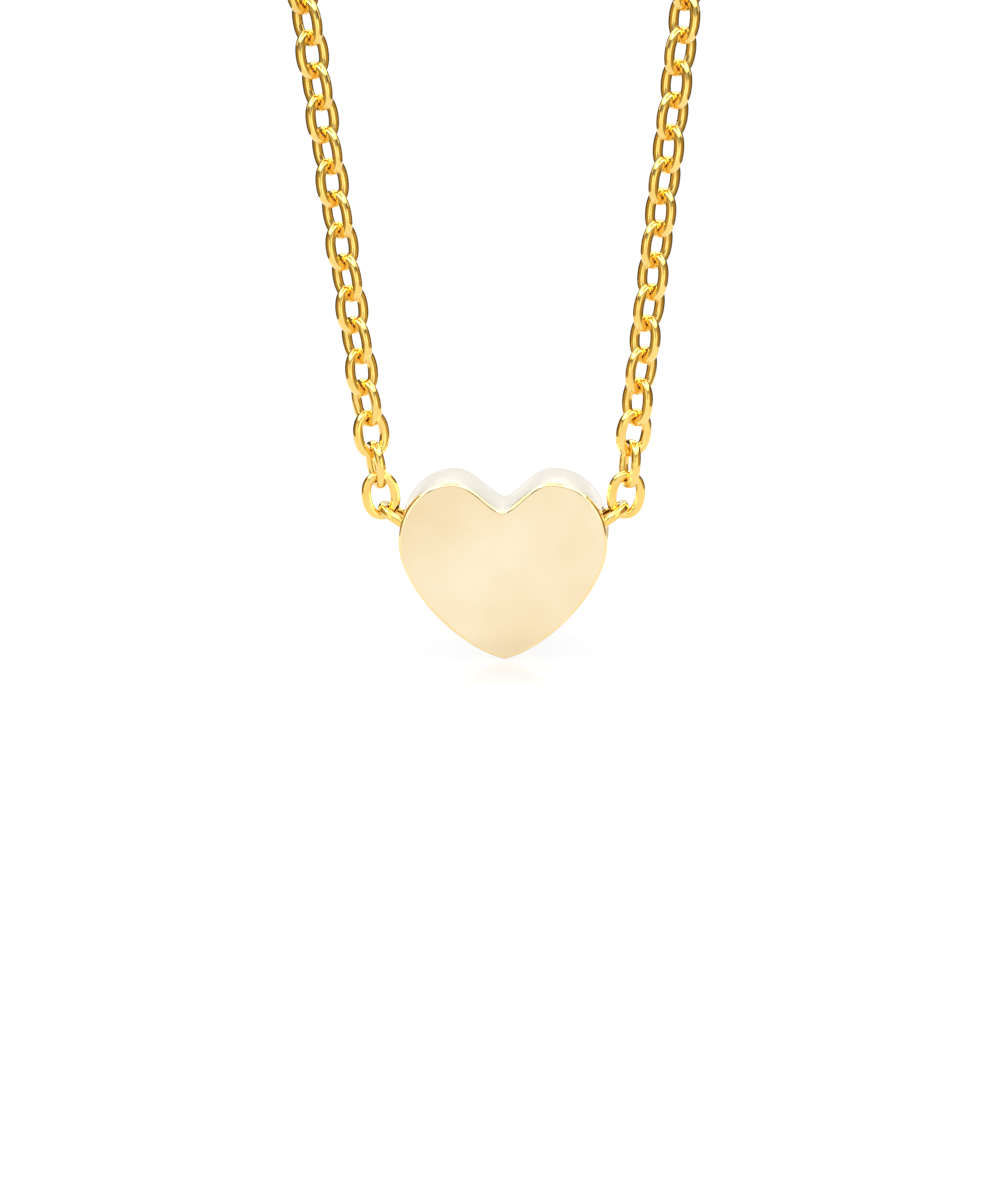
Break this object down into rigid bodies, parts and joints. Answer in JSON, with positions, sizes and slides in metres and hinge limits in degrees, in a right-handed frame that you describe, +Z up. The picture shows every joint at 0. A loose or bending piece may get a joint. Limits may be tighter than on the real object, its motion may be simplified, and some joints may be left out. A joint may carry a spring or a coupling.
{
  "type": "pendant necklace",
  "caption": "Polished gold-tone heart bead threaded on a fine oval cable chain that closes with a small sprung lobster-style clasp and two rings.",
  "frame": {"origin": "inner side of the top of the loop, under the clasp, where the chain rests on the back of a neck or on a peg", "axes": "+Z up along the hanging chain, +X across the heart from its left lobe to its right lobe as seen from the front, the heart's front faces -Y"},
  "size_m": [0.0576, 0.0047, 0.2114],
  "materials": {
    "chain_gold": "polished gold plate",
    "heart_gold": "mirror-polished pale gold plate",
    "clasp_gold": "polished gold plate",
    "spring_steel": "plain"
  },
  "bodies": {
    "neck_loop": {"neck_chain_left": "chain_gold", "neck_chain_right": "chain_gold", "clasp_claw": "clasp_gold", "clasp_pin": "clasp_gold", "clasp_spring": "spring_steel"},
    "drop_upper": {"drop_upper_left": "chain_gold", "drop_upper_right": "chain_gold"},
    "drop_middle": {"drop_middle_left": "chain_gold", "drop_middle_right": "chain_gold"},
    "drop_lower": {"drop_lower_left": "chain_gold", "drop_lower_right": "chain_gold"},
    "row_16": {"left_link_16": "chain_gold", "right_link_16": "chain_gold"},
    "row_15": {"left_link_15": "chain_gold", "right_link_15": "chain_gold"},
    "row_14": {"left_link_14": "chain_gold", "right_link_14": "chain_gold"},
    "row_13": {"left_link_13": "chain_gold", "right_link_13": "chain_gold"},
    "row_12": {"left_link_12": "chain_gold", "right_link_12": "chain_gold"},
    "row_11": {"left_link_11": "chain_gold", "right_link_11": "chain_gold"},
    "row_10": {"left_link_10": "chain_gold", "right_link_10": "chain_gold"},
    "row_09": {"left_link_09": "chain_gold", "right_link_09": "chain_gold"},
    "row_08": {"left_link_08": "chain_gold", "right_link_08": "chain_gold"},
    "row_07": {"left_link_07": "chain_gold", "right_link_07": "chain_gold"},
    "row_06": {"left_link_06": "chain_gold", "right_link_06": "chain_gold"},
    "row_05": {"left_link_05": "chain_gold", "right_link_05": "chain_gold"},
    "row_04": {"left_link_04": "chain_gold", "right_link_04": "chain_gold"},
    "row_03": {"left_link_03": "chain_gold", "right_link_03": "chain_gold"},
    "row_02": {"left_link_02": "chain_gold", "right_link_02": "chain_gold"},
    "row_01": {"left_link_01": "chain_gold", "right_link_01": "chain_gold", "entry_link_left": "chain_gold", "entry_link_right": "chain_gold", "bore_link_1": "chain_gold", "bore_link_2": "chain_gold", "bore_link_3": "chain_gold", "bore_link_4": "chain_gold", "bore_link_5": "chain_gold", "bore_link_6": "chain_gold", "bore_link_7": "chain_gold"},
    "heart": {"heart_bead": "heart_gold"},
    "lever": {"clasp_lever": "clasp_gold"},
    "jump_ring": {"jump_ring": "clasp_gold"},
    "catch_ring": {"catch_ring": "clasp_gold"}
  },
  "joints": [
    {"name": "drop_upper_swing", "type": "hinge", "parent": "neck_loop", "child": "drop_upper", "pos_m": [0, 0, -0.03277], "axis": [1, 0, 0], "range_deg": [-30, 30]},
    {"name": "drop_middle_swing", "type": "hinge", "parent": "drop_upper", "child": "drop_middle", "pos_m": [0, 0, -0.07889], "axis": [1, 0, 0], "range_deg": [-30, 30]},
    {"name": "drop_lower_swing", "type": "hinge", "parent": "drop_middle", "child": "drop_lower", "pos_m": [0, 0, -0.12665], "axis": [1, 0, 0], "range_deg": [-30, 30]},
    {"name": "row_16_swing", "type": "hinge", "parent": "drop_lower", "child": "row_16", "pos_m": [0, 0, -0.17441], "axis": [1, 0, 0], "range_deg": [-35, 35]},
    {"name": "row_15_swing", "type": "hinge", "parent": "row_16", "child": "row_15", "pos_m": [0, 0, -0.17605], "axis": [-1, 0, 0], "range_deg": [-35, 35]},
    {"name": "row_14_swing", "type": "hinge", "parent": "row_15", "child": "row_14", "pos_m": [0, 0, -0.1777], "axis": [1, 0, 0], "range_deg": [-35, 35]},
    {"name": "row_13_swing", "type": "hinge", "parent": "row_14", "child": "row_13", "pos_m": [0, 0, -0.17935], "axis": [-1, 0, 0], "range_deg": [-35, 35]},
    {"name": "row_12_swing", "type": "hinge", "parent": "row_13", "child": "row_12", "pos_m": [0, 0, -0.18099], "axis": [1, 0, 0], "range_deg": [-35, 35]},
    {"name": "row_11_swing", "type": "hinge", "parent": "row_12", "child": "row_11", "pos_m": [0, 0, -0.18264], "axis": [-1, 0, 0], "range_deg": [-35, 35]},
    {"name": "row_10_swing", "type": "hinge", "parent": "row_11", "child": "row_10", "pos_m": [0, 0, -0.18429], "axis": [1, 0, 0], "range_deg": [-35, 35]},
    {"name": "row_09_swing", "type": "hinge", "parent": "row_10", "child": "row_09", "pos_m": [0, 0, -0.18593], "axis": [-1, 0, 0], "range_deg": [-35, 35]},
    {"name": "row_08_swing", "type": "hinge", "parent": "row_09", "child": "row_08", "pos_m": [0, 0, -0.18758], "axis": [1, 0, 0], "range_deg": [-35, 35]},
    {"name": "row_07_swing", "type": "hinge", "parent": "row_08", "child": "row_07", "pos_m": [0, 0, -0.18923], "axis": [-1, 0, 0], "range_deg": [-35, 35]},
    {"name": "row_06_swing", "type": "hinge", "parent": "row_07", "child": "row_06", "pos_m": [0, 0, -0.19088], "axis": [1, 0, 0], "range_deg": [-35, 35]},
    {"name": "row_05_swing", "type": "hinge", "parent": "row_06", "child": "row_05", "pos_m": [0, 0, -0.19252], "axis": [-1, 0, 0], "range_deg": [-35, 35]},
    {"name": "row_04_swing", "type": "hinge", "parent": "row_05", "child": "row_04", "pos_m": [0, 0, -0.19417], "axis": [1, 0, 0], "range_deg": [-35, 35]},
    {"name": "row_03_swing", "type": "hinge", "parent": "row_04", "child": "row_03", "pos_m": [0, 0, -0.19582], "axis": [-1, 0, 0], "range_deg": [-35, 35]},
    {"name": "row_02_swing", "type": "hinge", "parent": "row_03", "child": "row_02", "pos_m": [0, 0, -0.19746], "axis": [1, 0, 0], "range_deg": [-35, 35]},
    {"name": "row_01_swing", "type": "hinge", "parent": "row_02", "child": "row_01", "pos_m": [0, 0, -0.19911], "axis": [-1, 0, 0], "range_deg": [-35, 35]},
    {"name": "heart_spin", "type": "hinge", "parent": "row_01", "child": "heart", "pos_m": [0, 0, -0.20189], "axis": [1, 0, 0], "continuous": true},
    {"name": "lever_open", "type": "hinge", "parent": "neck_loop", "child": "lever", "pos_m": [-0.00145, -0.00085, 0.0012], "axis": [0, 0, 1], "range_deg": [0, 18], "stiffness_Nm_per_rad": 0.002, "springref_deg": -14.32},
    {"name": "jump_ring_rock", "type": "hinge", "parent": "neck_loop", "child": "jump_ring", "pos_m": [-0.00406, 0, 0.0012], "axis": [-0.9788, 0, -0.2048], "range_deg": [-20, 20]},
    {"name": "catch_ring_rock", "type": "hinge", "parent": "neck_loop", "child": "catch_ring", "pos_m": [0.00406, 0, 0.0012], "axis": [0.9773, 0, -0.2118], "range_deg": [-20, 20]}
  ]
}
